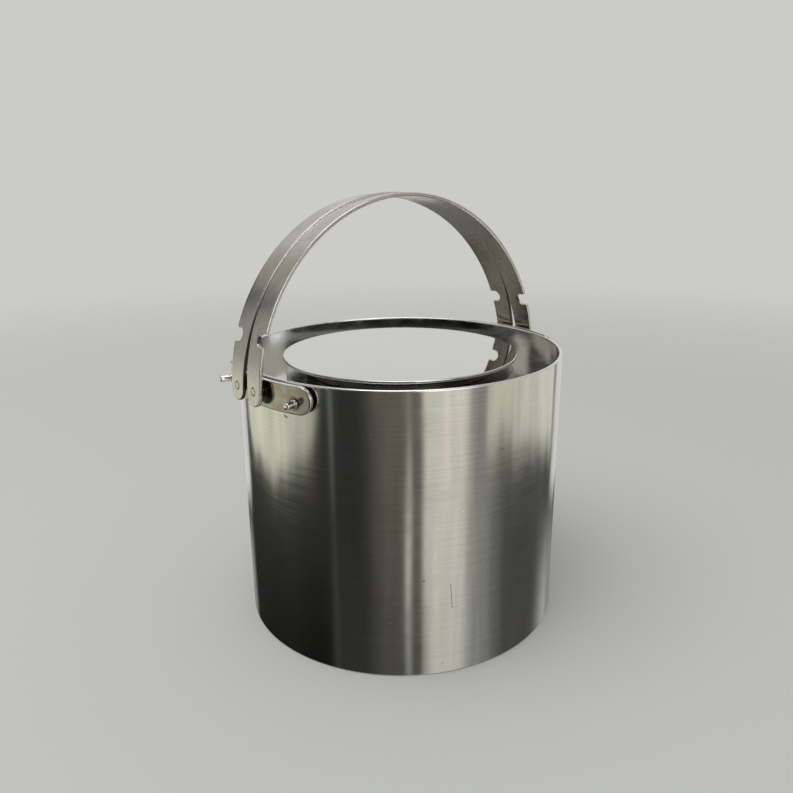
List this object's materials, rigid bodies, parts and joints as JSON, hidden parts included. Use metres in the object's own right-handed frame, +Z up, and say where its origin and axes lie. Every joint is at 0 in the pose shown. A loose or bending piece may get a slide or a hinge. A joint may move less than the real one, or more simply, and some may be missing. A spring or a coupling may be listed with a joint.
{
  "type": "ice bucket",
  "caption": "Round double-walled steel ice bucket with a recessed lift-out lid and a carrying handle of paired strips that fold down round the rim onto stop studs.",
  "frame": {"origin": "centre of the underside of the base", "axes": "+Z up, X from pivot to pivot of the handle, -Y towards the front strip"},
  "size_m": [0.164, 0.15, 0.1963],
  "materials": {
    "brushed_wall": "brushed round the body, with fine scratches",
    "mirror_steel": "polished",
    "lid_mirror": "mirror polished",
    "satin_steel": "satin",
    "strip_steel": "satin, brushed along the strip",
    "bracket_steel": "satin, slightly stained",
    "pin_steel": "turned and polished",
    "foam": "plain rigid foam"
  },
  "bodies": {
    "bucket": {"outer_wall": "brushed_wall", "base_plate": "brushed_wall", "inner_liner": "mirror_steel", "floor_insulation": "foam", "wall_insulation": "foam", "left_bracket": "bracket_steel", "left_front_stud": "pin_steel", "left_front_spacer": "satin_steel", "left_front_rivet": "pin_steel", "left_front_washer": "pin_steel", "left_rear_stud": "pin_steel", "left_rear_spacer": "satin_steel", "left_rear_rivet": "pin_steel", "left_rear_washer": "pin_steel", "right_bracket": "bracket_steel", "right_front_stud": "pin_steel", "right_front_spacer": "satin_steel", "right_front_rivet": "pin_steel", "right_front_washer": "pin_steel", "right_rear_stud": "pin_steel", "right_rear_spacer": "satin_steel", "right_rear_rivet": "pin_steel", "right_rear_washer": "pin_steel"},
    "lid": {"lid_top": "lid_mirror", "lid_neck": "satin_steel", "lid_pan_cover": "satin_steel", "lid_pan": "satin_steel", "lid_insulation": "foam"},
    "front_handle": {"front_strip": "strip_steel"},
    "rear_handle": {"rear_strip": "strip_steel"}
  },
  "joints": [
    {"name": "front_handle_fold", "type": "hinge", "parent": "bucket", "child": "front_handle", "pos_m": [0, -0.0067, 0.1207], "axis": [1, 0, 0], "range_deg": [0, 93.65]},
    {"name": "rear_handle_fold", "type": "hinge", "parent": "bucket", "child": "rear_handle", "pos_m": [0, 0.0067, 0.1207], "axis": [-1, 0, 0], "range_deg": [0, 86.35]},
    {"name": "lid_lift", "type": "slide", "parent": "bucket", "child": "lid", "axis": [0, 0, 1], "range_m": [0, 0.045]}
  ]
}
